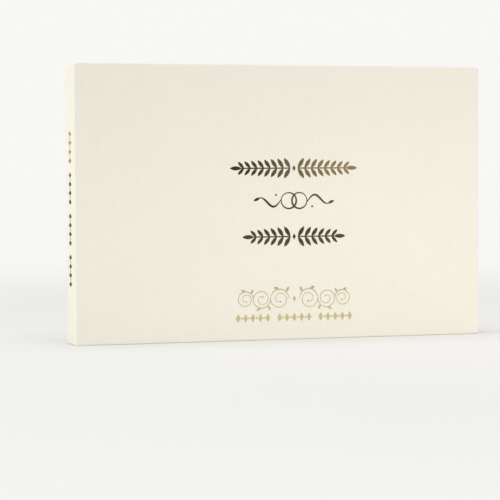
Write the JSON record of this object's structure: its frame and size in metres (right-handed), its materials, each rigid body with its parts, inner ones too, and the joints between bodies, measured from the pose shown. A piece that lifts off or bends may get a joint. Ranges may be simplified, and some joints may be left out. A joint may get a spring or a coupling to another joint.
{
  "type": "guest book",
  "caption": "Landscape hard-cover guest book in ivory linen with foil-stamped ornaments, a sewn text block, headbands, endpapers and covers that open flat",
  "frame": {"origin": "middle of the bottom of the closed book, on the surface that its tail edge stands on", "axes": "+X from the spine to the fore-edge, +Y from the front cover to the back cover, +Z from tail to head"},
  "size_m": [0.227, 0.0186, 0.146],
  "materials": {
    "linen_cloth": "matte",
    "greyboard": "matte",
    "endpaper": "matte",
    "page_paper": "matte",
    "gold_foil": "polished",
    "mull": "matte",
    "kraft_paper": "matte",
    "headband": "satin",
    "thread": "matte"
  },
  "bodies": {
    "spine": {"spine_board": "greyboard", "spine_cloth": "linen_cloth", "spine_foil": "gold_foil", "spine_kraft_lining": "kraft_paper", "spine_mull": "mull", "headband_head": "headband", "headband_tail": "headband", "sewing_thread": "thread", "front_joint_cloth": "linen_cloth", "back_joint_cloth": "linen_cloth", "front_joint_mull": "mull", "back_joint_mull": "mull", "front_endpaper_fold": "endpaper", "back_endpaper_fold": "endpaper"},
    "front_cover": {"front_board": "greyboard", "front_cover_cloth": "linen_cloth", "front_foil_upper": "gold_foil", "front_foil_lower": "gold_foil", "front_pastedown": "endpaper", "front_mull_flap": "mull"},
    "back_cover": {"back_board": "greyboard", "back_cover_cloth": "linen_cloth", "back_pastedown": "endpaper", "back_mull_flap": "mull"},
    "front_flyleaf": {"front_flyleaf": "endpaper"},
    "back_flyleaf": {"back_flyleaf": "endpaper"},
    "section_01": {"section_01": "page_paper", "front_centre_stitches": "thread"},
    "section_02": {"section_02": "page_paper"},
    "section_03": {"section_03": "page_paper"},
    "section_04": {"section_04": "page_paper"},
    "section_05": {"section_05": "page_paper"},
    "section_06": {"section_06": "page_paper"},
    "section_07": {"section_07": "page_paper"},
    "section_08": {"section_08": "page_paper"},
    "section_09": {"section_09": "page_paper"},
    "section_10": {"section_10": "page_paper", "back_centre_stitches": "thread"},
    "page_leaf_01": {"page_leaf_01": "page_paper"},
    "page_leaf_02": {"page_leaf_02": "page_paper"},
    "page_leaf_03": {"page_leaf_03": "page_paper"},
    "page_leaf_04": {"page_leaf_04": "page_paper"},
    "page_leaf_77": {"page_leaf_77": "page_paper"},
    "page_leaf_78": {"page_leaf_78": "page_paper"},
    "page_leaf_79": {"page_leaf_79": "page_paper"},
    "page_leaf_80": {"page_leaf_80": "page_paper"}
  },
  "joints": [
    {"name": "front_cover_hinge", "type": "hinge", "parent": "spine", "child": "front_cover", "pos_m": [-0.10745, -0.00945, 0], "axis": [0, 0, -1], "range_deg": [0, 178], "deforming": ["front_joint_cloth", "front_joint_mull", "front_endpaper_fold"]},
    {"name": "back_cover_hinge", "type": "hinge", "parent": "spine", "child": "back_cover", "pos_m": [-0.10745, 0.00945, 0], "axis": [0, 0, 1], "range_deg": [0, 178], "deforming": ["back_joint_cloth", "back_joint_mull", "back_endpaper_fold"]},
    {"name": "front_flyleaf_turn", "type": "hinge", "parent": "spine", "child": "front_flyleaf", "pos_m": [-0.10745, -0.00945, 0], "axis": [0, 0, -1], "range_deg": [0, 160.2]},
    {"name": "back_flyleaf_turn", "type": "hinge", "parent": "spine", "child": "back_flyleaf", "pos_m": [-0.10745, 0.00945, 0], "axis": [0, 0, 1], "range_deg": [0, 160.2]},
    {"name": "page_leaf_01_turn", "type": "hinge", "parent": "spine", "child": "page_leaf_01", "pos_m": [-0.10708, -0.00563, 0], "axis": [0, 0, -1], "range_deg": [0, 87.22]},
    {"name": "page_leaf_02_turn", "type": "hinge", "parent": "spine", "child": "page_leaf_02", "pos_m": [-0.10708, -0.0055, 0], "axis": [0, 0, -1], "range_deg": [0, 71.2]},
    {"name": "page_leaf_03_turn", "type": "hinge", "parent": "spine", "child": "page_leaf_03", "pos_m": [-0.10708, -0.00537, 0], "axis": [0, 0, -1], "range_deg": [0, 55.18]},
    {"name": "page_leaf_04_turn", "type": "hinge", "parent": "spine", "child": "page_leaf_04", "pos_m": [-0.10708, -0.00524, 0], "axis": [0, 0, -1], "range_deg": [0, 39.16]},
    {"name": "page_leaf_80_turn", "type": "hinge", "parent": "spine", "child": "page_leaf_80", "pos_m": [-0.10708, 0.00563, 0], "axis": [0, 0, 1], "range_deg": [0, 87.22]},
    {"name": "page_leaf_79_turn", "type": "hinge", "parent": "spine", "child": "page_leaf_79", "pos_m": [-0.10708, 0.0055, 0], "axis": [0, 0, 1], "range_deg": [0, 71.2]},
    {"name": "page_leaf_78_turn", "type": "hinge", "parent": "spine", "child": "page_leaf_78", "pos_m": [-0.10708, 0.00537, 0], "axis": [0, 0, 1], "range_deg": [0, 55.18]},
    {"name": "page_leaf_77_turn", "type": "hinge", "parent": "spine", "child": "page_leaf_77", "pos_m": [-0.10708, 0.00524, 0], "axis": [0, 0, 1], "range_deg": [0, 39.16]},
    {"name": "section_01_turn", "type": "hinge", "parent": "spine", "child": "section_01", "pos_m": [-0.10708, -0.00517, 0], "axis": [0, 0, -1], "range_deg": [0, 21.36]},
    {"name": "section_02_turn", "type": "hinge", "parent": "spine", "child": "section_02", "pos_m": [-0.10708, -0.00402, 0], "axis": [0, 0, -1], "range_deg": [0, 16.91]},
    {"name": "section_03_turn", "type": "hinge", "parent": "spine", "child": "section_03", "pos_m": [-0.10708, -0.00287, 0], "axis": [0, 0, -1], "range_deg": [0, 12.46]},
    {"name": "section_04_turn", "type": "hinge", "parent": "spine", "child": "section_04", "pos_m": [-0.10708, -0.00172, 0], "axis": [0, 0, -1], "range_deg": [0, 8.01]},
    {"name": "section_05_turn", "type": "hinge", "parent": "spine", "child": "section_05", "pos_m": [-0.10708, -0.00057, 0], "axis": [0, 0, -1], "range_deg": [0, 4]},
    {"name": "section_10_turn", "type": "hinge", "parent": "spine", "child": "section_10", "pos_m": [-0.10708, 0.00517, 0], "axis": [0, 0, 1], "range_deg": [0, 21.36]},
    {"name": "section_09_turn", "type": "hinge", "parent": "spine", "child": "section_09", "pos_m": [-0.10708, 0.00402, 0], "axis": [0, 0, 1], "range_deg": [0, 16.91]},
    {"name": "section_08_turn", "type": "hinge", "parent": "spine", "child": "section_08", "pos_m": [-0.10708, 0.00287, 0], "axis": [0, 0, 1], "range_deg": [0, 12.46]},
    {"name": "section_07_turn", "type": "hinge", "parent": "spine", "child": "section_07", "pos_m": [-0.10708, 0.00172, 0], "axis": [0, 0, 1], "range_deg": [0, 8.01]},
    {"name": "section_06_turn", "type": "hinge", "parent": "spine", "child": "section_06", "pos_m": [-0.10708, 0.00057, 0], "axis": [0, 0, 1], "range_deg": [0, 4]}
  ],
  "couplings": [
    {"joint": "front_flyleaf_turn", "follows": "front_cover_hinge", "ratio": 0.9},
    {"joint": "back_flyleaf_turn", "follows": "back_cover_hinge", "ratio": 0.9},
    {"joint": "page_leaf_01_turn", "follows": "front_cover_hinge", "ratio": 0.49},
    {"joint": "page_leaf_02_turn", "follows": "front_cover_hinge", "ratio": 0.4},
    {"joint": "page_leaf_03_turn", "follows": "front_cover_hinge", "ratio": 0.31},
    {"joint": "page_leaf_04_turn", "follows": "front_cover_hinge", "ratio": 0.22},
    {"joint": "page_leaf_80_turn", "follows": "back_cover_hinge", "ratio": 0.49},
    {"joint": "page_leaf_79_turn", "follows": "back_cover_hinge", "ratio": 0.4},
    {"joint": "page_leaf_78_turn", "follows": "back_cover_hinge", "ratio": 0.31},
    {"joint": "page_leaf_77_turn", "follows": "back_cover_hinge", "ratio": 0.22},
    {"joint": "section_01_turn", "follows": "front_cover_hinge", "ratio": 0.12},
    {"joint": "section_02_turn", "follows": "front_cover_hinge", "ratio": 0.095},
    {"joint": "section_03_turn", "follows": "front_cover_hinge", "ratio": 0.07},
    {"joint": "section_04_turn", "follows": "front_cover_hinge", "ratio": 0.045},
    {"joint": "section_05_turn", "follows": "front_cover_hinge", "ratio": 0.0225},
    {"joint": "section_10_turn", "follows": "back_cover_hinge", "ratio": 0.12},
    {"joint": "section_09_turn", "follows": "back_cover_hinge", "ratio": 0.095},
    {"joint": "section_08_turn", "follows": "back_cover_hinge", "ratio": 0.07},
    {"joint": "section_07_turn", "follows": "back_cover_hinge", "ratio": 0.045},
    {"joint": "section_06_turn", "follows": "back_cover_hinge", "ratio": 0.0225}
  ]
}
